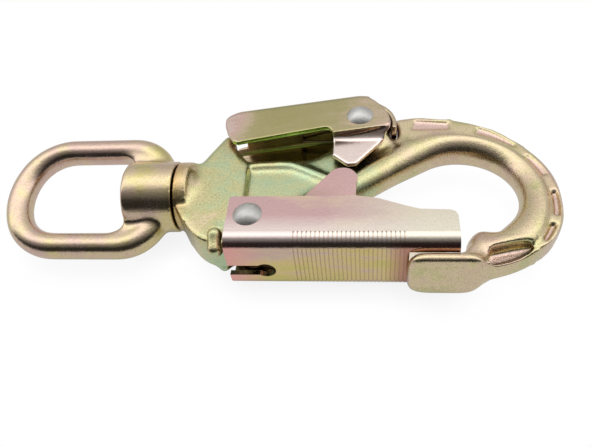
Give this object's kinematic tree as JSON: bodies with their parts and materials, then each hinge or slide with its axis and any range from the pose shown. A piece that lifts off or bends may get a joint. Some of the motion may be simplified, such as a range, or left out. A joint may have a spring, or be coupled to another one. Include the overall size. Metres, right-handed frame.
{
  "type": "swivel snap hook",
  "caption": "Forged snap hook with a sprung sheet-metal gate, a thumb lock lever over it, and a swivelling round-bar eye.",
  "frame": {"origin": "middle of the swivel eye's window, on the swivel axis and on the hook's middle plane", "axes": "+X from the eye to the bow, along the swivel axis; +Y towards the spine and the lock lever; +Z through the hook's thickness, towards the viewer"},
  "size_m": [0.2162, 0.084, 0.0312],
  "materials": {
    "body_zinc": "forged steel with satin yellow zinc plating that shifts from pale green to orange",
    "eye_zinc": "forged steel with satin yellow zinc plating, warm tan",
    "gate_zinc": "pressed steel sheet with glossier yellow zinc plating that shifts to pink",
    "lever_zinc": "pressed steel sheet with glossier yellow zinc plating that shifts to pink",
    "rivet_steel": "plain steel, bright, domed heads",
    "spring_steel": "dark spring wire"
  },
  "bodies": {
    "hook": {"hook_body": "body_zinc", "gate_rivet": "rivet_steel", "lock_rivet": "rivet_steel"},
    "eye": {"swivel_eye": "eye_zinc"},
    "gate": {"gate": "gate_zinc", "gate_spring": "spring_steel"},
    "lever": {"lock_lever": "lever_zinc", "lock_spring": "spring_steel"}
  },
  "joints": [
    {"name": "eye_swivel", "type": "hinge", "parent": "hook", "child": "eye", "pos_m": [0, 0, 0], "axis": [1, 0, 0], "continuous": true},
    {"name": "gate_hinge", "type": "hinge", "parent": "hook", "child": "gate", "pos_m": [0.0725, -0.0202, 0], "axis": [0, 0, 1], "range_deg": [0, 22], "stiffness_Nm_per_rad": 0.8, "springref_deg": -28.65},
    {"name": "lever_hinge", "type": "hinge", "parent": "hook", "child": "lever", "pos_m": [0.1118, 0.0312, 0], "axis": [0, 0, 1], "range_deg": [0, 14.01], "stiffness_Nm_per_rad": 0.4, "springref_deg": -28.65}
  ],
  "couplings": [
    {"joint": "lever_hinge", "follows": "gate_hinge", "ratio": 0.6364}
  ]
}
